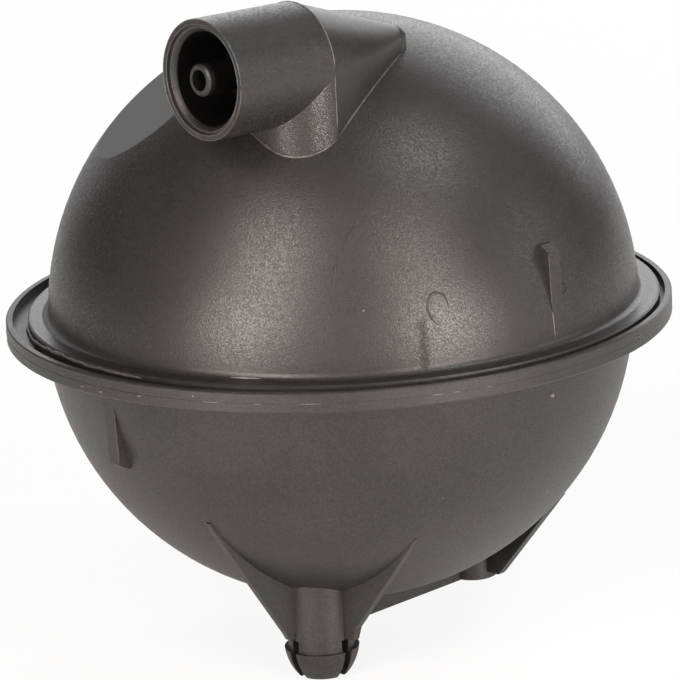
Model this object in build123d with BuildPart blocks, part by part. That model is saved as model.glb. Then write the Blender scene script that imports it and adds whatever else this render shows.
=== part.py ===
from build123d import *
import math
import os

# Spherical plastic pressure reservoir: two moulded half shells welded at a rimmed flange.
# Millimetres. The origin is the centre of the lower bowl, +Z is the axis of the flange
# and points up to the hose socket. Angles in plan are counted from +X towards +Y.

# Bowl, dome and the weld between them
bowl_r = 55.0
dome_growth = 0.1
shell_wall = 2.5
dome_x = 0.95
dome_y = -0.34
melt_down = 0.46
weld_z = -0.8

# Flange of the dome, and the rim that stands round it on the bowl
flange_w = 3.9
flange_h = 2.1
flange_fillet = 1.2
flange_edge = 0.3
groove_w = 1.95
rim_wall = 1.25
rim_top_z = 0.92
rim_bottom_z = -2.85
rim_edge = 0.25

# Facet on the dome
facet_azimuth = -171.0
facet_elevation = 52.3
facet_depth = 2.05

# Lugs that hold each half against turning while it is welded
lug_count = 2
lug_w = 2.8
lug_inset = 0.2
lug_draft = 0.8
lug_depth = 3.0
lug_end_fall = 1.1
dome_lug_h = 19.1
dome_lug_azimuth = -47.3
bowl_lug_h = 18.9
bowl_lug_azimuth = -139.4

# Hose socket: a cup with the nipple standing in it
mouth_x = -22.0
mouth_y = -43.0
mouth_sink = 1.19
socket_azimuth = -140.0
socket_rise = 1.5
socket_r = 10.85
socket_wall = 2.35
socket_reach = 21.5
socket_depth = 12.5
floor_wall = 2.6
mouth_ring = 1.0
mouth_step = 0.5
mouth_lead = 0.8
nipple_r = 2.9
nipple_bore_r = 1.92
nipple_proud = 0.6
nipple_edge = 0.35

# Neck below the socket, and the tail that falls away behind it
fitting_wall = 2.25
neck_corner_r = 9.05
neck_inset = 0.15
seam_step = 0.12
tail_fall = 0.32
tail_mid_reach = 11.0
tail_mid_half = 7.6
tail_tip_reach = 23.1
tail_tip_half = 2.4
tail_core_reach = 18.5
tail_core_half = 2.1
fitting_root_h = 23.0

# Feet below the bowl: their centres share one circle and their ends one plane
foot_circle_r = 24.0
foot_drop = 1.42
peg_azimuth = -105.0
post_azimuths = (15.0, 135.0)
post_r = 4.7
foot_edge = 0.3

# Snap peg: a shoulder that seats on the plate, a neck, four barbed fingers
plate_gap = 2.5
peg_shoulder_r = 6.9
peg_neck_r = 6.2
barb_r = 6.95
nose_mid_r = 6.25
nose_mid_drop = 2.7
nose_tip_r = 4.65
nose_drop = 5.28
slot_w = 1.7
slot_top_rise = 1.5
slot_r = 7.0

# Ribs from the feet to the bowl. A toe is the low outer end of a rib: its radius from the
# foot's axis, the height at which the sloping edge starts, and that edge's slope
rib_w = 1.6
rib_run = 16.5
toe_rake = 0.85
peg_toe_rise = 0.3
post_toe_rise = 1.5
left_rib = {"azimuth": -141.5, "toe_r": 8.65, "toe_h": 1.8, "slope": 1.535}
right_rib = {"azimuth": -45.5, "toe_r": 9.9, "toe_h": 2.8, "slope": 1.243}
front_post_rib = {"azimuth": -48.0, "toe_r": 8.4, "toe_h": 2.3, "slope": 1.12}
back_post_rib = {"azimuth": 135.0, "toe_r": 8.4, "toe_h": 2.3, "slope": 1.12}

# Sizes that follow
dome_r = bowl_r + dome_growth
flange_r = bowl_r + flange_w
rim_r = flange_r + groove_w + rim_wall
flange_top_z = weld_z + flange_h
cavity_r = bowl_r - shell_wall
dome_cavity_r = dome_r - shell_wall
seat_z = -(bowl_r + foot_drop)
ledge_z = seat_z - plate_gap
peg_end_z = ledge_z - nose_drop
buried_z = -math.sqrt(cavity_r**2 - (foot_circle_r + peg_shoulder_r) ** 2) + shell_wall
socket_bore_r = socket_r - socket_wall
core_start = socket_depth + floor_wall

vertical = Vector(0, 0, 1)


def direction(azimuth, elevation=0.0):
    """Unit vector at an angle in plan and an angle above the horizontal."""
    turn = math.radians(azimuth)
    lift = math.radians(elevation)
    return Vector(math.cos(turn) * math.cos(lift), math.sin(turn) * math.cos(lift), math.sin(lift))


def upright(origin, azimuth):
    """Vertical plane through origin whose x runs out along the azimuth and whose y runs up."""
    outward = direction(azimuth)
    return Plane(origin=origin, x_dir=outward, z_dir=outward.cross(vertical))


def foot_centre(azimuth):
    """Point on the circle of the feet, in the plane that they share."""
    return direction(azimuth) * foot_circle_r + vertical * seat_z


def lug_profile(wall_r, base_z, height):
    """Radial section of a lug: it grows out of the wall as the ball curves away from it."""
    crest_r = wall_r - lug_inset
    rise = math.copysign(1, height)
    return [
        (wall_r - 2 * lug_depth, base_z),
        (crest_r, base_z),
        (crest_r - lug_draft, base_z + height - rise * lug_end_fall),
        (wall_r - lug_depth, base_z + height),
        (wall_r - 2 * lug_depth, base_z + height),
    ]


def rib_profile(rib, rise):
    """Section of a rib in its own plane: the foot's axis, the toe, the sloping edge."""
    toe_r, toe_h = rib["toe_r"], rib["toe_h"]
    top = toe_h + rib_run * rib["slope"]
    return [(0, rise), (toe_r - toe_rake, rise), (toe_r, toe_h), (toe_r + rib_run, top), (0, top)]


dome_centre = Vector(dome_x, dome_y, -melt_down)
dome_axis = Axis((dome_x, dome_y, 0), (0, 0, 1))
dome_section = Plane(origin=(dome_x, dome_y, 0), x_dir=(1, 0, 0), z_dir=(0, -1, 0))
facet_normal = direction(facet_azimuth, facet_elevation)
facet_out = Plane(origin=dome_centre + facet_normal * (dome_r - facet_depth), z_dir=facet_normal)
facet_in = facet_out.offset(-shell_wall)

mouth = Vector(mouth_x, mouth_y, dome_r - melt_down - mouth_sink)
outward = direction(socket_azimuth, socket_rise)
inward = -outward
leftward = vertical.cross(inward).normalized()
mouth_plane = Plane(origin=mouth, x_dir=leftward, z_dir=inward)
shoulder = mouth_plane.offset(socket_reach)
socket_section = Plane(origin=mouth, x_dir=leftward, z_dir=leftward.cross(inward))
socket_axis = Axis(mouth, inward)
neck_plane = Plane(
    origin=shoulder.origin - vertical * fitting_root_h,
    x_dir=direction(socket_azimuth),
    z_dir=vertical,
)
neck_half = socket_r - neck_inset
neck_corner_y = neck_half - neck_corner_r
room_corner_r = neck_corner_r - fitting_wall
room_half = neck_half - fitting_wall
socket_room_r = socket_r - fitting_wall


def arch_centre(reach, half_width):
    """Height of an arch's centre over the socket's axis that keeps the tail's crest straight."""
    return neck_half - tail_fall * reach - half_width


def tail_stations(tip_reach, tip_half):
    """Reach behind the shoulder and half width of the arches that the tail is drawn through."""
    return ((0, neck_half - seam_step), (tail_mid_reach, tail_mid_half), (tip_reach, tip_half))


# Dome: turned profile with the flange, its facet and its lugs
flange_meets_dome = math.sqrt(dome_r**2 - (flange_top_z + melt_down) ** 2)
with BuildPart() as dome:
    with BuildSketch(dome_section):
        with BuildLine():
            Polyline(
                (0, dome_r - melt_down),
                (0, weld_z),
                (flange_r, weld_z),
                (flange_r, flange_top_z - flange_edge),
                (flange_r - flange_edge, flange_top_z),
                (flange_meets_dome, flange_top_z),
            )
            RadiusArc((flange_meets_dome, flange_top_z), (0, dome_r - melt_down), -dome_r)
        make_face()
    revolve(axis=dome_axis)
    dome_root = dome.edges().filter_by(GeomType.CIRCLE).filter_by(
        lambda edge: abs(edge.radius - flange_meets_dome) < flange_edge
    )
    fillet(dome_root, flange_fillet)
    split(bisect_by=facet_out, keep=Keep.BOTTOM)
    for number in range(lug_count):
        with BuildSketch(upright((dome_x, dome_y, 0), dome_lug_azimuth + number * 360 / lug_count)):
            with BuildLine():
                Polyline(*lug_profile(dome_r, weld_z + flange_h / 2, dome_lug_h), close=True)
            make_face()
        extrude(amount=-lug_w)

# Tail: arches that narrow behind the socket and end in an upright rounded nose
with BuildPart() as tail:
    for reach, half in tail_stations(tail_tip_reach, tail_tip_half):
        lift = arch_centre(reach, half)
        with BuildSketch(shoulder.offset(reach)):
            with BuildLine():
                CenterArc((0, lift), half, 0, 180)
                Polyline((-half, lift), (-half, -fitting_root_h), (half, -fitting_root_h), (half, lift))
            make_face()
    loft()
    tip = shoulder.offset(tail_tip_reach).origin + vertical * arch_centre(tail_tip_reach, tail_tip_half)
    with Locations(tip):
        Sphere(tail_tip_half)
        Cylinder(tail_tip_half, fitting_root_h, align=(Align.CENTER, Align.CENTER, Align.MAX))

# Room inside the dome, reaching up into the neck, the back of the socket and the tail
with BuildPart() as dome_room:
    with Locations(dome_centre):
        Sphere(dome_cavity_r)
    split(bisect_by=facet_in, keep=Keep.BOTTOM)
    with BuildSketch(neck_plane):
        with BuildLine():
            CenterArc((0, neck_corner_y), room_corner_r, 0, 90)
            CenterArc((0, -neck_corner_y), room_corner_r, -90, 90)
            Line((room_corner_r, -neck_corner_y), (room_corner_r, neck_corner_y))
            Line((0, -room_half), (0, room_half))
        make_face()
    extrude(amount=fitting_root_h)
    with BuildSketch(mouth_plane.offset(core_start)):
        Circle(socket_room_r)
    extrude(amount=socket_reach - core_start)

with BuildPart() as tail_room:
    for reach, half in tail_stations(tail_core_reach, tail_core_half + fitting_wall):
        lift = arch_centre(reach, half)
        room = half - fitting_wall
        with BuildSketch(shoulder.offset(reach)):
            with BuildLine():
                CenterArc((0, lift), room, 0, 180)
                Polyline((-room, lift), (-room, -fitting_root_h), (room, -fitting_root_h), (room, lift))
            make_face()
    loft()

# Upper shell: dome, socket and neck in one, hollowed, with the nipple left in the socket
with BuildPart() as upper_shell:
    add(dome.part)
    with BuildSketch(mouth_plane):
        Circle(socket_r)
    extrude(amount=socket_reach)
    with BuildSketch(neck_plane):
        with BuildLine():
            CenterArc((0, neck_corner_y), neck_corner_r, 0, 90)
            CenterArc((0, -neck_corner_y), neck_corner_r, -90, 90)
            Line((neck_corner_r, -neck_corner_y), (neck_corner_r, neck_corner_y))
            Line((0, -neck_half), (0, neck_half))
        make_face()
    extrude(amount=fitting_root_h)
    add(tail.part)
    add(dome_room.part, mode=Mode.SUBTRACT)
    add(tail_room.part, mode=Mode.SUBTRACT)
    with BuildSketch(socket_section):
        with BuildLine():
            step_r = socket_r - mouth_ring
            Polyline(
                (0, 0),
                (step_r, 0),
                (step_r, mouth_step),
                (socket_bore_r + mouth_lead, mouth_step),
                (socket_bore_r, mouth_step + mouth_lead),
                (socket_bore_r, socket_depth),
                (0, socket_depth),
                close=True,
            )
        make_face()
    revolve(axis=socket_axis, mode=Mode.SUBTRACT)
    with BuildSketch(socket_section):
        with BuildLine():
            Polyline(
                (0, socket_depth + floor_wall / 2),
                (nipple_r, socket_depth + floor_wall / 2),
                (nipple_r, nipple_edge - nipple_proud),
                (nipple_r - nipple_edge, -nipple_proud),
                (0, -nipple_proud),
                close=True,
            )
        make_face()
    revolve(axis=socket_axis)
    with BuildSketch(mouth_plane.offset(-nipple_proud)):
        Circle(nipple_bore_r)
    extrude(amount=nipple_proud + core_start + nipple_r, mode=Mode.SUBTRACT)

# Bowl: turned profile with the rim and the groove for the dome's flange
rim_meets_bowl = math.sqrt(bowl_r**2 - rim_bottom_z**2)
rim_mid_z = (rim_top_z + rim_bottom_z) / 2
with BuildPart() as lower_shell:
    with BuildSketch(Plane.XZ):
        with BuildLine():
            Polyline(
                (0, -bowl_r),
                (0, weld_z),
                (rim_r - rim_wall, weld_z),
                (rim_r - rim_wall, rim_top_z),
                (rim_r - rim_edge, rim_top_z),
                (rim_r, rim_top_z - rim_edge),
                (rim_r, rim_bottom_z + rim_edge),
                (rim_r - rim_edge, rim_bottom_z),
                (rim_meets_bowl, rim_bottom_z),
            )
            RadiusArc((rim_meets_bowl, rim_bottom_z), (0, -bowl_r), bowl_r)
        make_face()
    revolve(axis=Axis.Z)
    for number in range(lug_count):
        with BuildSketch(upright((0, 0, 0), bowl_lug_azimuth + number * 360 / lug_count)):
            with BuildLine():
                Polyline(*lug_profile(bowl_r, rim_mid_z, -bowl_lug_h), close=True)
            make_face()
        extrude(amount=lug_w)

    # Plain posts
    for azimuth in post_azimuths:
        with BuildSketch(Plane(origin=foot_centre(azimuth), z_dir=vertical)):
            Circle(post_r)
        extrude(amount=buried_z - seat_z)
    post_ends = lower_shell.edges().group_by(Axis.Z)[0]
    chamfer(post_ends, foot_edge)

    # Shoulder, neck and barbed nose of the peg
    peg = foot_centre(peg_azimuth)
    with BuildSketch(upright((peg.X, peg.Y, 0), 0)):
        with BuildLine():
            Polyline(
                (nose_tip_r, peg_end_z),
                (0, peg_end_z),
                (0, buried_z),
                (peg_shoulder_r, buried_z),
                (peg_shoulder_r, seat_z),
                (peg_neck_r, seat_z),
                (peg_neck_r, ledge_z),
                (barb_r, ledge_z),
            )
            ThreePointArc((barb_r, ledge_z), (nose_mid_r, ledge_z - nose_mid_drop), (nose_tip_r, peg_end_z))
        make_face()
    revolve(axis=Axis(peg, (0, 0, 1)))

    # Ribs in the planes of the peg and the posts, and the web from the peg to the front post
    for foot_azimuth, rib, rise in (
        (peg_azimuth, left_rib, peg_toe_rise),
        (peg_azimuth, right_rib, peg_toe_rise),
        (post_azimuths[0], front_post_rib, post_toe_rise),
        (post_azimuths[1], back_post_rib, post_toe_rise),
    ):
        with BuildSketch(upright(foot_centre(foot_azimuth), rib["azimuth"])):
            with BuildLine():
                Polyline(*rib_profile(rib, rise), close=True)
            make_face()
        extrude(amount=rib_w / 2, both=True)
    span = foot_centre(post_azimuths[0]) - peg
    with BuildSketch(upright(peg, math.degrees(math.atan2(span.Y, span.X)))):
        Rectangle(span.length, buried_z - seat_z, align=(Align.MIN, Align.MIN))
    extrude(amount=rib_w / 2, both=True)

    # Slots that part the peg into four fingers
    with BuildSketch(Plane(origin=peg + vertical * slot_top_rise, z_dir=-vertical)):
        for rib in (left_rib, right_rib):
            Rectangle(3 * slot_r, slot_w, rotation=-rib["azimuth"])
        Circle(slot_r, mode=Mode.INTERSECT)
    extrude(amount=slot_top_rise + seat_z - peg_end_z, mode=Mode.SUBTRACT)

    # Room inside the bowl
    Sphere(cavity_r, mode=Mode.SUBTRACT)

upper_shell.part.label = "upper_shell"
lower_shell.part.label = "lower_shell"

os.makedirs("parts", exist_ok=True)
export_step(upper_shell.part, "parts/upper_shell.step")
export_step(lower_shell.part, "parts/lower_shell.step")
for shell in (upper_shell, lower_shell):
    print(shell.part.label, round(shell.part.volume), shell.part.bounding_box(), len(shell.part.solids()))
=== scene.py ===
# %% [markdown]
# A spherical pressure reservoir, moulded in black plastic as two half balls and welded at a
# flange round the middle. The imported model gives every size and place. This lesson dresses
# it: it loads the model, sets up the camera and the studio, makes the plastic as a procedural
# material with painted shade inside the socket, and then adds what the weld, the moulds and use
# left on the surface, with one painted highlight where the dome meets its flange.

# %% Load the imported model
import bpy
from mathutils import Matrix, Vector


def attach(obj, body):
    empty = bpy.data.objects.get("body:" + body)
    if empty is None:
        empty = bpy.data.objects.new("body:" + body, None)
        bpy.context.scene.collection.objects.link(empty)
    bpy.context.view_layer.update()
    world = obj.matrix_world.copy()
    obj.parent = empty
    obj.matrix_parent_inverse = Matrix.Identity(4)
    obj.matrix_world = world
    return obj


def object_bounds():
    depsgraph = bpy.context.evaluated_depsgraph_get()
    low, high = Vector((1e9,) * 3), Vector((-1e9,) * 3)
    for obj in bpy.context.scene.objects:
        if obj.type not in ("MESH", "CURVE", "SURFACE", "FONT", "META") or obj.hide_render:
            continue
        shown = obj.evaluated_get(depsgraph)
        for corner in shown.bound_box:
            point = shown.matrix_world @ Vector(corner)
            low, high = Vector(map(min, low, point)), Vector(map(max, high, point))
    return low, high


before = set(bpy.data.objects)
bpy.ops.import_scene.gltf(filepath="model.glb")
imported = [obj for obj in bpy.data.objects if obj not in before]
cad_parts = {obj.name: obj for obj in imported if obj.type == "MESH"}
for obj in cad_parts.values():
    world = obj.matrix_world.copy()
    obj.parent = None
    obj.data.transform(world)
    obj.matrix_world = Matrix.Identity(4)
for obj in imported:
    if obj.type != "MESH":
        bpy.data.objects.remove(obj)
cad_low, cad_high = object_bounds()
print("CAD box in mm", [round(v * 1000, 1) for v in (*cad_low, *cad_high)])

# %% Helpers for sizes and directions
import math

import bpy
from mathutils import Matrix, Vector

MM = 0.001


def direction(azimuth, elevation=0.0):
    """Unit vector at an angle in plan and an angle above the horizontal, both in degrees."""
    turn, lift = math.radians(azimuth), math.radians(elevation)
    return Vector((math.cos(turn) * math.cos(lift), math.sin(turn) * math.cos(lift), math.sin(lift)))


# %% [markdown]
# The camera. The photograph was taken with a long lens from a little above the flange: the
# rim shows as a flat ellipse. Height and lens were worked out from that ellipse and from the
# outline of the ball. The distance is a choice: the photograph fits about as well from a
# little nearer or from more than twice as far, with a lens to match. A small roll is left
# in, because the ball leans a little in the frame. Writing the camera's own axes as a matrix
# keeps all of that in one place.

# %% Camera
FRAME_PX = 680
SENSOR_MM = 36.0
focal_px = 4821.0
view_distance = 900 * MM
view_height = 0.2677
view_pan = -0.0001
view_tilt = -0.0072
view_roll = -0.0497
aim = Vector((0, 0, -0.42 * MM))

camera_data = bpy.data.cameras.new("camera")
camera_data.sensor_width = SENSOR_MM
camera_data.lens = focal_px / FRAME_PX * SENSOR_MM
camera_data.clip_start, camera_data.clip_end = 0.05, 20.0
camera = bpy.data.objects.new("camera", camera_data)
bpy.context.scene.collection.objects.link(camera)

back = direction(-90, math.degrees(view_height))
look = -back
right = look.cross(Vector((0, 0, 1))).normalized()
up = right.cross(look)
look, right = (look * math.cos(view_pan) + right * math.sin(view_pan),
               right * math.cos(view_pan) - look * math.sin(view_pan))
look, up = (look * math.cos(view_tilt) + up * math.sin(view_tilt),
            up * math.cos(view_tilt) - look * math.sin(view_tilt))
right, up = (right * math.cos(view_roll) + up * math.sin(view_roll),
             up * math.cos(view_roll) - right * math.sin(view_roll))
turn = Matrix((right, up, -look)).transposed().to_4x4()
camera.matrix_world = Matrix.Translation(aim + back * view_distance) @ turn
bpy.context.scene.camera = camera
print("lens in mm", round(camera_data.lens, 1))

# %% [markdown]
# The studio. The background of the photograph is pure white, while the black plastic shows a
# dark room with tall soft boxes: one on each side of the camera, each with a low one at the
# table, a small one above, a weak one at the right, and two behind, which draw the pale edge
# round the ball. Black plastic shows little but what it mirrors, so the places and sizes of
# the boxes matter more than its own colour. The world stays nearly dark for the light and
# white for the camera.
# The floor mixes its own lit white with plain white, so it keeps only a faint shadow.

# %% World and floor
scene = bpy.context.scene
scene.view_settings.view_transform = "Standard"
ROOM_LIGHT = 0.05


def white_to_camera(tree, shader, output, share):
    """Show plain white to the camera for the given share, and the shader to every other ray."""
    path = tree.nodes.new("ShaderNodeLightPath")
    part = tree.nodes.new("ShaderNodeMath")
    part.operation = "MULTIPLY"
    part.inputs[1].default_value = share
    white = tree.nodes.new("ShaderNodeEmission" if output.type == "OUTPUT_MATERIAL" else "ShaderNodeBackground")
    white.inputs["Color"].default_value = (1, 1, 1, 1)
    white.inputs["Strength"].default_value = 1.0
    mix = tree.nodes.new("ShaderNodeMixShader")
    tree.links.new(path.outputs["Is Camera Ray"], part.inputs[0])
    tree.links.new(part.outputs[0], mix.inputs[0])
    tree.links.new(shader.outputs[0], mix.inputs[1])
    tree.links.new(white.outputs[0], mix.inputs[2])
    tree.links.new(mix.outputs[0], output.inputs["Surface"])


world = bpy.data.worlds.new("studio room")
scene.world = world
world.use_nodes = True
room = world.node_tree.nodes["Background"]
room.inputs["Color"].default_value = (1.0, 1.0, 1.0, 1)
room.inputs["Strength"].default_value = ROOM_LIGHT
white_to_camera(world.node_tree, room, world.node_tree.nodes["World Output"], 1.0)

floor_z = cad_low.z - 0.2 * MM
half_floor = 3.0
FLOOR_ALBEDO = 0.93
FLOOR_WHITE_SHARE = 0.86
corners = ((-1, -1), (1, -1), (1, 1), (-1, 1))
floor_mesh = bpy.data.meshes.new("floor")
floor_mesh.from_pydata([(x * half_floor, y * half_floor, floor_z) for x, y in corners], [], [(0, 1, 2, 3)])
floor = bpy.data.objects.new("floor", floor_mesh)
scene.collection.objects.link(floor)
floor_paint = bpy.data.materials.new("white floor")
floor_paint.use_nodes = True
paint = floor_paint.node_tree.nodes["Principled BSDF"]
paint.inputs["Base Color"].default_value = (FLOOR_ALBEDO, FLOOR_ALBEDO, FLOOR_ALBEDO, 1)
paint.inputs["Roughness"].default_value = 0.9
white_to_camera(floor_paint.node_tree, paint, floor_paint.node_tree.nodes["Material Output"], FLOOR_WHITE_SHARE)
floor_mesh.materials.append(floor_paint)
print("floor at", round(floor_z / MM, 2), "mm")

# %% Lamps


def softbox(name, azimuth, elevation, distance, width, height, power, color=(1, 1, 1)):
    """An upright soft box that looks at the middle of the ball."""
    data = bpy.data.lights.new(name, "AREA")
    data.shape = "RECTANGLE"
    data.size, data.size_y = width, height
    data.energy = power
    data.color = color
    lamp = bpy.data.objects.new(name, data)
    scene.collection.objects.link(lamp)
    out = direction(azimuth, elevation)
    lamp.location = out * distance
    lamp.rotation_mode = "QUATERNION"
    lamp.rotation_quaternion = out.to_track_quat("Z", "Y")
    lamp.visible_camera = False


WARM = (1.0, 0.90, 0.86)
BOX_DISTANCE = 1.2
softbox("right box", -58, 20, BOX_DISTANCE, 0.38, 1.10, 10.0, WARM)
softbox("right box low", -50, 1, BOX_DISTANCE, 0.50, 0.26, 8.4, WARM)
softbox("left box", -120, 26, BOX_DISTANCE, 0.44, 1.00, 14.5, WARM)
softbox("left box low", -132, 3, BOX_DISTANCE, 0.40, 0.32, 6.4, WARM)
softbox("top box", -18, 60, BOX_DISTANCE, 0.42, 0.42, 3.5)
softbox("side box", -4, 16, BOX_DISTANCE, 0.50, 0.70, 1.8)
softbox("back box", 72, 24, BOX_DISTANCE, 1.20, 0.90, 8.0)
softbox("back box left", 118, 20, BOX_DISTANCE, 0.60, 0.90, 1.2)

# %% [markdown]
# The plastic. Both halves are the same black material, but the moulds are not alike. The
# dome's mould was spark eroded: it leaves a coarse, sparkling grain on the ball, the neck and
# the socket. The facet and the tail are polished inserts and nearly smooth, and the bowl's
# grain is finer. A bump map from noise is enough for grain this small, and a mask tells the
# smooth inserts from the rest: outside the ball's own radius and behind the socket's
# shoulder lies the tail, and inside it, past a plane, the facet.

# %% Where the inserts are
DOME_CENTRE = Vector((0.95, -0.34, -0.46)) * MM
DOME_R = 55.1 * MM
FACET_NORMAL = direction(-171.0, 52.3)
FACET_REACH = (55.1 - 2.05) * MM
MOUTH = Vector((-22.0, -43.0, 53.45)) * MM
OUTWARD = direction(-140.0, 1.5)
SOCKET_REACH = 21.5 * MM
SOCKET_R = 10.85 * MM
CUP_R = 9.6 * MM
NIPPLE_R = 3.2 * MM
BORE_R = 1.9 * MM
CUP_DEPTH = 13.0 * MM
TAIL_LOW = 30.0 * MM
SHOULDER = MOUTH - OUTWARD * SOCKET_REACH
PIN_MARK = DOME_CENTRE + direction(-70.4, 34.5) * DOME_R
PIN_MARK_R = 0.7 * MM
STREAK_SIDE = direction(14.4)
print("shoulder at", [round(v / MM, 1) for v in SHOULDER])


# %% Small tools for node trees


def wire(tree, kind, *sources, **settings):
    """Add a node, set its properties, and feed its inputs in order with links or numbers."""
    node = tree.nodes.new(kind)
    for key, value in settings.items():
        setattr(node, key, value)
    for slot_number, source in enumerate(sources):
        if source is None:
            continue
        if isinstance(source, bpy.types.NodeSocket):
            tree.links.new(source, node.inputs[slot_number])
        else:
            node.inputs[slot_number].default_value = source
    return node


def maths(tree, operation, *sources):
    """A Math node's result."""
    return wire(tree, "ShaderNodeMath", *sources, operation=operation).outputs[0]


def depth_past(tree, place, origin, normal):
    """How far each point lies past a plane, in metres."""
    away = wire(tree, "ShaderNodeVectorMath", place, tuple(origin), operation="SUBTRACT").outputs[0]
    return wire(tree, "ShaderNodeVectorMath", away, tuple(normal), operation="DOT_PRODUCT").outputs["Value"]


def step(tree, value, low, high):
    """0 below low, 1 above high, smooth between."""
    ramp = wire(tree, "ShaderNodeMapRange", value, low, high, 0.0, 1.0)
    ramp.clamp = True
    return ramp.outputs[0]


def noise(tree, place, scale, detail=2.0, roughness=0.5):
    """Noise on a point's place, about 0.5 in the middle."""
    return wire(tree, "ShaderNodeTexNoise", place, None, scale, detail, roughness).outputs["Fac"]


def from_mouth(tree, place):
    """How far a point lies out of the socket's mouth, and how far off the socket's axis."""
    aside = depth_past(tree, place, MOUTH, OUTWARD)
    reach = wire(tree, "ShaderNodeVectorMath", place, tuple(MOUTH), operation="DISTANCE").outputs["Value"]
    squares = maths(tree, "SUBTRACT", maths(tree, "MULTIPLY", reach, reach), maths(tree, "MULTIPLY", aside, aside))
    return aside, maths(tree, "SQRT", maths(tree, "MAXIMUM", squares, 0.0))


# %% Moulded plastic
PIT_SCALE, RELIEF_SCALE = 4800.0, 2600.0
CLOUD_SCALE, MOTTLE_SCALE = 60.0, 700.0
SPECK_SCALE = 230.0
DARK_TONE, PALE_TONE = (0.0100, 0.0096, 0.0093, 1), (0.0240, 0.0232, 0.0226, 1)
SPECK_TONE = (0.30, 0.29, 0.28, 1)
# Painted shade for inside the socket: a near-black colour and a dimmed specular tint.
CUP_PAINTED_SHADE = (0.0022, 0.0020, 0.0019, 1)
PLAIN_TINT, CUP_SHADE_TINT = (1, 1, 1, 1), (0.16, 0.16, 0.16, 1)


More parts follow.
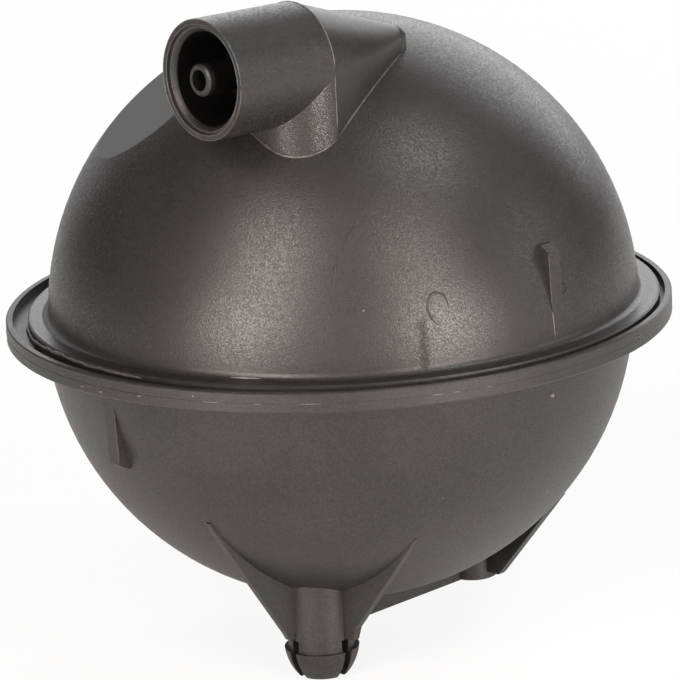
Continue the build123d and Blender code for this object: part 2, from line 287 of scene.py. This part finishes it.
def moulded_plastic(name, grain_depth, sparkle, roughness, inserts=False):
    """Black plastic: slow changes of tone and gloss, spark-eroded grain, a few dust specks; with the inserts also
    painted shade inside the socket.
    """
    material = bpy.data.materials.new(name)
    material.use_nodes = True
    tree = material.node_tree
    shader = tree.nodes["Principled BSDF"]
    shader.inputs["Specular IOR Level"].default_value = 0.5
    place = tree.nodes.new("ShaderNodeTexCoord").outputs["Object"]

    pits = wire(tree, "ShaderNodeTexVoronoi", place, None, PIT_SCALE)
    grit = wire(tree, "ShaderNodeSeparateColor", pits.outputs["Color"]).outputs[0]
    ripple = maths(tree, "MULTIPLY", noise(tree, place, RELIEF_SCALE), 0.6)
    relief = maths(tree, "ADD", pits.outputs["Distance"], ripple)
    smooth = None
    if inserts:
        radius = wire(tree, "ShaderNodeVectorMath", place, tuple(DOME_CENTRE), operation="DISTANCE")
        outside = step(tree, radius.outputs["Value"], DOME_R + 0.05 * MM, DOME_R + 0.3 * MM)
        behind = step(tree, depth_past(tree, place, SHOULDER, -OUTWARD), 0.0, 0.1 * MM)
        high = step(tree, wire(tree, "ShaderNodeSeparateXYZ", place).outputs["Z"], TAIL_LOW, TAIL_LOW + 1.0 * MM)
        tail = maths(tree, "MULTIPLY", maths(tree, "MULTIPLY", outside, behind), high)
        facet = step(tree, depth_past(tree, place, DOME_CENTRE, FACET_NORMAL),
                     FACET_REACH - 0.06 * MM, FACET_REACH - 0.02 * MM)
        facet = maths(tree, "MULTIPLY", facet, maths(tree, "SUBTRACT", 1.0, outside))
        flange = step(tree, wire(tree, "ShaderNodeSeparateXYZ", place).outputs["Z"], 4.2 * MM, 2.6 * MM)
        smooth = maths(tree, "ADD", maths(tree, "MULTIPLY", tail, 0.8), maths(tree, "MULTIPLY", flange, 0.7))
        smooth = maths(tree, "MINIMUM", maths(tree, "ADD", smooth, facet), 1.0)
        relief = maths(tree, "MULTIPLY", relief, maths(tree, "SUBTRACT", 1.0, maths(tree, "MULTIPLY", smooth, 0.85)))
        aside, off_axis = from_mouth(tree, place)
        neck = maths(tree, "MULTIPLY", outside, maths(tree, "SUBTRACT", 1.0, behind))
        neck = maths(tree, "MULTIPLY", neck, step(tree, off_axis, SOCKET_R + 0.02 * MM, SOCKET_R + 0.12 * MM))
        neck = maths(tree, "MULTIPLY", neck, high)
        relief = maths(tree, "MULTIPLY", relief, maths(tree, "ADD", 1.0, maths(tree, "MULTIPLY", neck, 0.6)))

    cloud = noise(tree, place, CLOUD_SCALE, 4.0)
    mottle = noise(tree, place, MOTTLE_SCALE, 3.0, 0.6)
    blend = maths(tree, "ADD", maths(tree, "MULTIPLY", cloud, 0.6), maths(tree, "MULTIPLY", mottle, 0.4))
    tone = tree.nodes.new("ShaderNodeValToRGB")
    tone.color_ramp.elements[0].position, tone.color_ramp.elements[1].position = 0.3, 0.7
    tone.color_ramp.elements[0].color = DARK_TONE
    tone.color_ramp.elements[1].color = PALE_TONE
    salt = maths(tree, "MULTIPLY", maths(tree, "SUBTRACT", grit, 0.5), sparkle)
    if smooth is not None:
        salt = maths(tree, "MULTIPLY", salt, maths(tree, "SUBTRACT", 1.0, maths(tree, "MULTIPLY", smooth, 0.8)))
        salt = maths(tree, "MULTIPLY", salt, maths(tree, "ADD", 1.0, maths(tree, "MULTIPLY", neck, 0.6)))
    tree.links.new(maths(tree, "ADD", blend, salt), tone.inputs["Fac"])
    cells = wire(tree, "ShaderNodeTexVoronoi", place, None, SPECK_SCALE)
    speck = step(tree, cells.outputs["Distance"], 0.045, 0.03)
    rare = step(tree, wire(tree, "ShaderNodeSeparateColor", cells.outputs["Color"]).outputs[0], 0.93, 0.95)
    dust = maths(tree, "MULTIPLY", speck, rare)
    dusty = wire(tree, "ShaderNodeMix", data_type="RGBA")
    tree.links.new(dust, dusty.inputs[0])
    tree.links.new(tone.outputs["Color"], dusty.inputs[6])
    dusty.inputs[7].default_value = SPECK_TONE
    colour = dusty.outputs[2]
    gloss = maths(tree, "ADD", roughness - 0.06, maths(tree, "MULTIPLY", blend, 0.12))
    gloss = maths(tree, "SUBTRACT", gloss, maths(tree, "MULTIPLY", salt, 0.2))
    if inserts:
        off_line = maths(tree, "ABSOLUTE", depth_past(tree, place, DOME_CENTRE, STREAK_SIDE))
        height = wire(tree, "ShaderNodeSeparateXYZ", place).outputs["Z"]
        streak = maths(tree, "MULTIPLY", step(tree, off_line, 1.1 * MM, 0.2 * MM),
                       step(tree, height, 11.5 * MM, 9.5 * MM))
        pin = wire(tree, "ShaderNodeVectorMath", place, tuple(PIN_MARK), operation="DISTANCE").outputs["Value"]
        pin = step(tree, pin, PIN_MARK_R + 0.3 * MM, PIN_MARK_R)
        gloss = maths(tree, "ADD", gloss, maths(tree, "MULTIPLY", maths(tree, "MAXIMUM", streak, pin), 0.25))
        # Painted shade: the cup's walls, the nipple and the bore get a near-black colour and a dimmed specular tint,
        # standing in for the shade deep inside the socket.
        walls = maths(tree, "MULTIPLY", step(tree, off_axis, CUP_R, CUP_R - 0.1 * MM),
                      step(tree, aside, -0.7 * MM, -1.6 * MM))
        nipple = maths(tree, "MULTIPLY", step(tree, off_axis, NIPPLE_R + 0.1 * MM, NIPPLE_R),
                       step(tree, aside, 0.3 * MM, -0.9 * MM))
        bore = maths(tree, "MULTIPLY", step(tree, off_axis, BORE_R + 0.1 * MM, BORE_R),
                     step(tree, aside, 0.8 * MM, 0.5 * MM))
        cup_shade_mask = maths(tree, "MAXIMUM", maths(tree, "MAXIMUM", walls, nipple), bore)
        cup_shade_mask = maths(tree, "MULTIPLY", cup_shade_mask, step(tree, aside, -CUP_DEPTH - 2.0 * MM, -CUP_DEPTH))
        cup_shade_mix = wire(tree, "ShaderNodeMix", data_type="RGBA")
        tree.links.new(cup_shade_mask, cup_shade_mix.inputs[0])
        tree.links.new(colour, cup_shade_mix.inputs[6])
        cup_shade_mix.inputs[7].default_value = CUP_PAINTED_SHADE
        colour = cup_shade_mix.outputs[2]
        gloss = maths(tree, "MAXIMUM", gloss, maths(tree, "MULTIPLY", cup_shade_mask, 0.9))
        cup_dimmed_reflection = wire(tree, "ShaderNodeMix", data_type="RGBA")
        tree.links.new(cup_shade_mask, cup_dimmed_reflection.inputs[0])
        cup_dimmed_reflection.inputs[6].default_value = PLAIN_TINT
        cup_dimmed_reflection.inputs[7].default_value = CUP_SHADE_TINT
        tree.links.new(cup_dimmed_reflection.outputs[2], shader.inputs["Specular Tint"])
    tree.links.new(colour, shader.inputs["Base Color"])
    tree.links.new(gloss, shader.inputs["Roughness"])
    bump = wire(tree, "ShaderNodeBump")
    bump.inputs["Strength"].default_value = 1.0
    bump.inputs["Distance"].default_value = grain_depth
    tree.links.new(relief, bump.inputs["Height"])
    tree.links.new(bump.outputs["Normal"], shader.inputs["Normal"])
    return material


dome_plastic = moulded_plastic("grained black plastic", 0.020 * MM, 1.35, 0.38, inserts=True)
bowl_plastic = moulded_plastic("fine grained black plastic", 0.012 * MM, 0.5, 0.43)
for name, material in (("upper_shell", dome_plastic), ("lower_shell", bowl_plastic)):
    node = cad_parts[name]
    node.data.materials.clear()
    node.data.materials.append(material)
print("finishes", dome_plastic.name, bowl_plastic.name)

# %% [markdown]
# Threads of plastic. Every thin line on this part is a bead of the same plastic: the ragged
# flash that the weld pressed up into the groove, the fine ridges where two steels of the
# mould met, and the scar of the gate. Each one follows a path, so one Geometry Nodes tree
# makes them all: it takes a path, shakes it with noise, gives it an uneven thickness with
# drawn-out ends, and sweeps a small ring along it. Only the numbers differ from bead to bead.

# %% Bead tree


def bead_tree():
    """Geometry Nodes tree that turns a path into an uneven bead."""
    tree = bpy.data.node_groups.new("bead", "GeometryNodeTree")
    face = tree.interface
    face.new_socket("Path", in_out="INPUT", socket_type="NodeSocketGeometry")
    for label, kind in (("Thickness", "NodeSocketFloat"), ("Unevenness", "NodeSocketFloat"),
                        ("Waver", "NodeSocketFloat"), ("Ripple", "NodeSocketFloat"), ("Step", "NodeSocketFloat"),
                        ("Ends", "NodeSocketFloat"), ("Seed", "NodeSocketFloat"), ("Finish", "NodeSocketMaterial")):
        face.new_socket(label, in_out="INPUT", socket_type=kind)
    face.new_socket("Bead", in_out="OUTPUT", socket_type="NodeSocketGeometry")
    given = tree.nodes.new("NodeGroupInput").outputs
    made = tree.nodes.new("NodeGroupOutput")

    path = wire(tree, "GeometryNodeResampleCurve", given["Path"])
    path.mode = "LENGTH"
    tree.links.new(given["Step"], path.inputs["Length"])
    place = wire(tree, "GeometryNodeInputPosition").outputs[0]

    def shake(offset):
        """Noise along the path, different for each offset."""
        texture = wire(tree, "ShaderNodeTexNoise", noise_dimensions="4D")
        tree.links.new(place, texture.inputs["Vector"])
        tree.links.new(maths(tree, "ADD", given["Seed"], offset), texture.inputs["W"])
        tree.links.new(given["Ripple"], texture.inputs["Scale"])
        texture.inputs["Detail"].default_value = 2.0
        return texture.outputs

    away = wire(tree, "ShaderNodeVectorMath", shake(0.0)["Color"], (0.5, 0.5, 0.5), operation="SUBTRACT").outputs[0]
    away = wire(tree, "ShaderNodeVectorMath", away, operation="SCALE")
    tree.links.new(given["Waver"], away.inputs["Scale"])
    moved = wire(tree, "GeometryNodeSetPosition", path.outputs[0])
    tree.links.new(away.outputs[0], moved.inputs["Offset"])

    along = wire(tree, "GeometryNodeSplineParameter").outputs["Factor"]
    to_end = maths(tree, "MINIMUM", along, maths(tree, "SUBTRACT", 1.0, along))
    drawn = maths(tree, "MINIMUM", maths(tree, "DIVIDE", to_end, given["Ends"]), 1.0)
    rough = maths(tree, "MULTIPLY", maths(tree, "SUBTRACT", shake(7.0)["Fac"], 0.5), given["Unevenness"])
    width = maths(tree, "MULTIPLY", maths(tree, "ADD", rough, 1.0), given["Thickness"])
    width = maths(tree, "MULTIPLY", width, maths(tree, "ADD", maths(tree, "MULTIPLY", drawn, 0.9), 0.1))
    width = maths(tree, "MAXIMUM", width, 0.02 * MM)
    ring = wire(tree, "GeometryNodeCurvePrimitiveCircle")
    ring.inputs["Resolution"].default_value = 8
    ring.inputs["Radius"].default_value = 1.0
    sized = wire(tree, "GeometryNodeSetCurveRadius", moved.outputs[0])
    tree.links.new(width, sized.inputs["Radius"])
    swept = wire(tree, "GeometryNodeCurveToMesh", sized.outputs[0])
    tree.links.new(ring.outputs[0], swept.inputs["Profile Curve"])
    swept.inputs["Fill Caps"].default_value = True
    if "Scale" in swept.inputs:
        tree.links.new(width, swept.inputs["Scale"])
    plain = wire(tree, "GeometryNodeRealizeInstances", swept.outputs[0])
    final = wire(tree, "GeometryNodeSetMaterial", plain.outputs[0])
    tree.links.new(given["Finish"], final.inputs["Material"])
    tree.links.new(final.outputs[0], made.inputs[0])
    return tree


BEAD = bead_tree()
print("bead tree", len(BEAD.nodes), "nodes")

# %% Bead maker


def bead(name, paths, thickness, finish, closed=False, **settings):
    """Sweep a bead along each path of points in metres, as one plain mesh that rides on the body."""
    line = bpy.data.curves.new(name + " path", "CURVE")
    line.dimensions = "3D"
    for points in paths:
        spline = line.splines.new("POLY")
        spline.points.add(len(points) - 1)
        for spot, point in zip(spline.points, points):
            spot.co = (*point, 1.0)
        spline.use_cyclic_u = closed
    raw = bpy.data.objects.new(name + " path", line)
    scene.collection.objects.link(raw)
    modifier = raw.modifiers.new("bead", "NODES")
    modifier.node_group = BEAD
    values = {"Thickness": thickness, "Unevenness": 0.4, "Waver": 0.0, "Ripple": 900.0, "Step": 0.4 * MM,
              "Ends": 0.15, "Seed": 1.0, "Finish": finish, **settings}
    for item in BEAD.interface.items_tree:
        if item.in_out == "INPUT" and item.name in values:
            modifier[item.identifier] = values[item.name]
    mesh = bpy.data.meshes.new_from_object(raw.evaluated_get(bpy.context.evaluated_depsgraph_get()))
    bpy.data.objects.remove(raw)
    piece = bpy.data.objects.new(name, mesh)
    scene.collection.objects.link(piece)
    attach(piece, "root")
    print(name, len(mesh.polygons), "faces")
    return piece


def ring_path(radius, height, start, end, centre=(0.0, 0.0), step_degrees=1.0):
    """Points on a level circle, from one azimuth to another."""
    count = max(2, int(abs(end - start) / step_degrees) + 1)
    middle = Vector((centre[0], centre[1], height))
    return [middle + direction(start + (end - start) * k / (count - 1)) * radius for k in range(count)]


def on_ball(azimuth, elevation, centre, radius, lift=0.0):
    """Point on a ball, at an azimuth and an elevation seen from its centre."""
    return centre + direction(azimuth, elevation) * (radius + lift)


# %% [markdown]
# Weld flash. The two halves were pressed together hot, and the melt rose in the groove between
# the dome's flange and the rim. On the left it broke out as a torn thread that leans on the
# flange's wall, glossier than the moulded skin; elsewhere it lies as crumbs on the groove's
# floor. The plain parting line round the rim comes from the moulds.

# %% Torn plastic
torn = bpy.data.materials.new("torn plastic")
torn.use_nodes = True
torn_shader = torn.node_tree.nodes["Principled BSDF"]
torn_place = torn.node_tree.nodes.new("ShaderNodeTexCoord").outputs["Object"]
torn_tone = torn.node_tree.nodes.new("ShaderNodeValToRGB")
torn_tone.color_ramp.elements[0].color = (0.018, 0.017, 0.016, 1)
torn_tone.color_ramp.elements[1].color = (0.11, 0.105, 0.10, 1)
torn.node_tree.links.new(noise(torn.node_tree, torn_place, 1500.0, 3.0), torn_tone.inputs["Fac"])
torn.node_tree.links.new(torn_tone.outputs["Color"], torn_shader.inputs["Base Color"])
torn_shader.inputs["Roughness"].default_value = 0.28

# %% Pale plastic for scuffs, dust and one painted highlight
scuffs_and_highlight = torn.copy()
scuffs_and_highlight.name = "plastic for scuffs and a painted highlight"
for node in scuffs_and_highlight.node_tree.nodes:
    if node.type == "VALTORGB":
        node.color_ramp.elements[0].color = (0.06, 0.058, 0.056, 1)
        node.color_ramp.elements[1].color = (0.22, 0.215, 0.21, 1)
scuffs_and_highlight.node_tree.nodes["Principled BSDF"].inputs["Roughness"].default_value = 0.5

# %% Flash in the groove
GROOVE_R = 59.5 * MM
RIM_R = 62.1 * MM
FLANGE_R = 58.9 * MM
PARTING_Z = -1.05 * MM


def flash_height(azimuth):
    """Height of the thread on the flange's wall: low at the far left, then up to the edge."""
    return (-0.45 + 1.25 * min(max((azimuth + 168) / 16, 0.0), 1.0)) * MM


thread = [direction(a) * (FLANGE_R + 0.08 * MM) + Vector((DOME_CENTRE.x, DOME_CENTRE.y, flash_height(a)))
          for a in range(-178, -127)]
bead("weld_flash", [thread], 0.36 * MM, torn, Unevenness=2.0, Waver=0.9 * MM, Ripple=450.0, Ends=0.06)
bead("weld_crumbs", [ring_path(GROOVE_R + 0.2 * MM, -0.6 * MM, start, start + sweep)
                     for start, sweep in ((-118, 7), (-99, 10), (-70, 5), (-52, 6), (-38, 5), (20, 9), (95, 12))],
     0.26 * MM, torn, Unevenness=1.8, Waver=0.7 * MM, Ripple=700.0)
bead("rim_parting_line", [ring_path(RIM_R - 0.02 * MM, PARTING_Z, 0, 358)], 0.07 * MM, bowl_plastic,
     closed=True, Ripple=200.0, Unevenness=0.8, Step=1.2 * MM)

# %% [markdown]
# Mould witness lines. The socket was formed by a sliding steel, which left a sharp ridge
# where it met the rest of the mould: round the socket's shoulder, down the corner of the
# neck, and along the foot of the neck and the tail on the ball. On the photograph these
# ridges catch the light as bright threads. Their paths follow the same sizes as the solid.

# %% Lines round the fitting
ACROSS = Vector((0, 0, 1)).cross(OUTWARD).normalized()
SKIN = 0.02 * MM
NECK_HALF, NECK_CORNER_R = 10.7 * MM, 9.05 * MM
NECK_CORNER_Y = NECK_HALF - NECK_CORNER_R
AHEAD = direction(-140.0)


def on_dome(point):
    """The point of the dome straight above or below a point."""
    flat = Vector((point.x - DOME_CENTRE.x, point.y - DOME_CENTRE.y))
    return Vector((point.x, point.y, DOME_CENTRE.z + math.sqrt(max(DOME_R ** 2 - flat.length_squared, 0.0))))


def tail_half(reach):
    """Half width of the tail behind the shoulder, through its three arches."""
    (a, ha), (b, hb), (c, hc) = ((0, 10.58), (11, 7.6), (23.1, 2.4))
    r = reach / MM
    return MM * (ha * (r - b) * (r - c) / ((a - b) * (a - c)) + hb * (r - a) * (r - c) / ((b - a) * (b - c))
                 + hc * (r - a) * (r - b) / ((c - a) * (c - b)))


print("across", [round(v, 2) for v in ACROSS])
near = 1 if ACROSS.y < 0 else -1
side = ACROSS * near
round_shoulder = [SHOULDER + (side * math.cos(t) + Vector((0, 0, 1)) * math.sin(t)) * (SOCKET_R - SKIN)
                  for t in (math.radians(a) for a in range(0, 181, 6))]
corner_drop = [SHOULDER + side * (NECK_HALF - SKIN) - Vector((0, 0, d * MM)) for d in range(0, 12)]
corner_drop = [p for p in corner_drop if p.z > on_dome(p).z - 0.3 * MM]
neck_plan = [(math.cos(t) * NECK_CORNER_R, NECK_CORNER_Y + math.sin(t) * NECK_CORNER_R)
             for t in (math.radians(a) for a in range(90, -1, -9))]
neck_foot = [on_dome(SHOULDER + AHEAD * s + side * y) for s, y in neck_plan]
neck_foot += [on_dome(SHOULDER + AHEAD * s - side * y) for s, y in reversed(neck_plan)]
tail_foot = [on_dome(SHOULDER - AHEAD * r * MM + side * tail_half(r * MM)) for r in range(0, 24)]
far_tail_foot = [on_dome(SHOULDER - AHEAD * r * MM - side * tail_half(r * MM)) for r in range(0, 24)]
bead("shoulder_line", [round_shoulder, corner_drop], 0.12 * MM, torn, Ends=0.05, Unevenness=1.8)
bead("fitting_foot_line", [neck_foot], 0.26 * MM, torn, Ends=0.1, Unevenness=1.6)
bead("tail_foot_line", [tail_foot, far_tail_foot], 0.20 * MM, torn, Ends=0.15, Unevenness=1.0)
MOUTH_UP = OUTWARD.cross(ACROSS)


def mouth_ring(radius, depth):
    """Closed circle round the socket's axis, at a depth behind its mouth."""
    turns = (math.radians(a) for a in range(0, 360, 6))
    return [MOUTH - OUTWARD * depth + (ACROSS * math.cos(t) + MOUTH_UP * math.sin(t)) * radius for t in turns]


MOUTH_RINGS = ((10.76, 0.03), (9.90, 0.02), (9.28, 0.52))
bead("mouth_edge_lines", [mouth_ring(radius * MM, depth * MM) for radius, depth in MOUTH_RINGS], 0.10 * MM, torn,
     closed=True, Ends=0.01, Unevenness=1.2)

# %% [markdown]
# Marks on the ball. The gate through which the dome was filled left an oval scar that trails
# off to one side, and each lug left a thin line down to the flange. They are shallow, so
# short beads sunk halfway into the skin are enough. The dull dot that a pin left above the
# scar is part of the plastic's own finish.

# %% Gate scar and lug lines


def on_skin(azimuth, elevation, outline, lift=0.0):
    """Lay a flat outline in millimetres, right and up, on the dome round a point."""
    middle = on_ball(azimuth, elevation, DOME_CENTRE, DOME_R)
    rightward = direction(azimuth + 90)
    upward = direction(azimuth, elevation + 90)
    spots = (middle + rightward * x * MM + upward * y * MM - DOME_CENTRE for x, y in outline)
    return [DOME_CENTRE + spot.normalized() * (DOME_R + lift) for spot in spots]


def oval(width, height, count=24):
    """Outline of an oval, in millimetres."""
    turns = (2 * math.pi * k / count for k in range(count))
    return [(width * math.cos(t), height * math.sin(t)) for t in turns]


scar = [(1.9, -0.9), (1.8, 0.6), (1.2, 1.8), (0.1, 2.3), (-1.0, 2.0), (-1.8, 0.9), (-1.95, -0.6), (-1.5, -2.1),
        (-0.7, -3.2), (0.3, -3.7)]
bead("gate_scar", [on_skin(-72.1, 13.9, scar, 0.02 * MM)], 0.20 * MM, bowl_plastic, Ends=0.25, Unevenness=0.8)
bead("lug_lines", [[on_ball(a, e, DOME_CENTRE, DOME_R, -0.03 * MM) for e in (11, 9, 7, 5, 3)] for a in (-47.2, 132.8)],
     0.10 * MM, scuffs_and_highlight, Ends=0.3, Unevenness=1.2)
bead("lug_scar", [on_skin(-43.2, 12.0, oval(0.8, 0.9))], 0.14 * MM, dome_plastic, closed=True, Unevenness=1.5)

# %% Bright edges of the lugs
LUG_REACH = 18.6
LUG_INSET, LUG_DRAFT = 0.2, 0.8


def lug_edge(azimuth, wall_r, low, high, centre):
    """The outer corner of a lug, from where it leaves the ball to its end."""
    heights = [low + (high - low) * k / 6 for k in range(7)]
    share = [abs(h) / LUG_REACH for h in heights]
    return [Vector((centre.x, centre.y, h * MM)) + direction(azimuth) * (wall_r - LUG_INSET - LUG_DRAFT * f) * MM
            for h, f in zip(heights, share)]


bead("dome_lug_edges", [lug_edge(a, 55.1, 8.5, 18.0, DOME_CENTRE) for a in (-47.3, 132.7)], 0.07 * MM, torn, Ends=0.1)
bead("bowl_lug_edges", [lug_edge(a, 55.0, -8.5, -18.4, Vector((0, 0, 0))) for a in (-139.4, 40.6)], 0.07 * MM, torn,
     Ends=0.1)

# %% Knit line
knit = [(-81.6, 36.6), (-84.1, 33.8), (-88.0, 28.8), (-90.3, 24.7), (-91.5, 21.9), (-92.6, 16.5), (-93.7, 9.2),
        (-94.5, 3.3)]
bead("knit_line", [[on_ball(a, e, DOME_CENTRE, DOME_R, 0.02 * MM) for a, e in knit]], 0.12 * MM, bowl_plastic,
     Unevenness=2.5, Waver=0.5 * MM, Ripple=700.0, Ends=0.2)

# %% Grains of dust
BOWL_CENTRE, BOWL_R = Vector((0, 0, 0)), 55.0 * MM
DUST = [(DOME_CENTRE, DOME_R, ((-110.6, 9.6, 0.10), (-144.1, 21.7, 0.08), (-124.7, 5.7, 0.09),
                               (-80.3, 15.7, 0.07), (-65.2, 25.1, 0.07), (-53.2, 21.2, 0.08), (-64.5, 5.9, 0.08),
                               (-20.0, 12.0, 0.09), (60.0, 30.0, 0.08), (140.0, 18.0, 0.09), (-160.0, 10.0, 0.07))),
        (BOWL_CENTRE, BOWL_R, ((-47.1, -8.6, 0.55), (-70.0, -26.3, 0.12), (-122.8, -9.9, 0.08), (-136.0, -15.0, 0.09),
                               (-59.0, -12.9, 0.07), (-94.1, -29.3, 0.07), (30.0, -20.0, 0.10), (110.0, -12.0, 0.08)))]
for number, (centre, radius, grains) in enumerate(DUST):
    for size in sorted({grain[2] for grain in grains}):
        spots = [[on_ball(a + k * size, e, centre, radius) for k in range(3)] for a, e, d in grains if d == size]
        bead("dust_%d_%d" % (number, round(size * 100)), spots, size * MM, scuffs_and_highlight,
             Ends=0.5, Step=0.2 * size * MM, Unevenness=0.3)

# %% [markdown]
# Scuffs and a painted highlight. A part that has lain in a bin has pale rub marks: fine scratches
# along the rim's parting line, and small nicks in the rim. The pale bead where the dome meets its
# flange is a painted highlight: it stands in for the light line that the small fillet there catches.

# %% Scuffs on the edges, and a painted highlight at the dome's foot
bead("rim_scratches", [ring_path(RIM_R + 0.02 * MM, PARTING_Z, a, a + w)
                       for a, w in ((-114, 4.0), (-105, 2.0), (-97.5, 4.8), (-76, 3.0), (-72, 1.6), (-66, 1.0))],
     0.06 * MM, scuffs_and_highlight, Ends=0.3, Unevenness=1.6, Step=0.25 * MM)
# Painted highlight: this pale bead on the fillet at the dome's foot stands in for the light line that the fillet
# catches.
bead("painted_fillet_highlight", [ring_path(55.45 * MM, 1.65 * MM, -112.0, -106.0, (DOME_CENTRE.x, DOME_CENTRE.y))],
     0.22 * MM, scuffs_and_highlight, Ends=0.4, Unevenness=1.8, Step=0.25 * MM)
bead("rim_nicks", [ring_path(RIM_R - 0.03 * MM, h * MM, a, a + 1.0)
                   for a, h in ((-31.5, -0.3), (-30.2, -0.5), (-139.0, -1.7), (-134.5, -1.9), (-126.0, -1.3))],
     0.26 * MM, torn, Ends=0.4, Unevenness=1.6, Step=0.2 * MM)
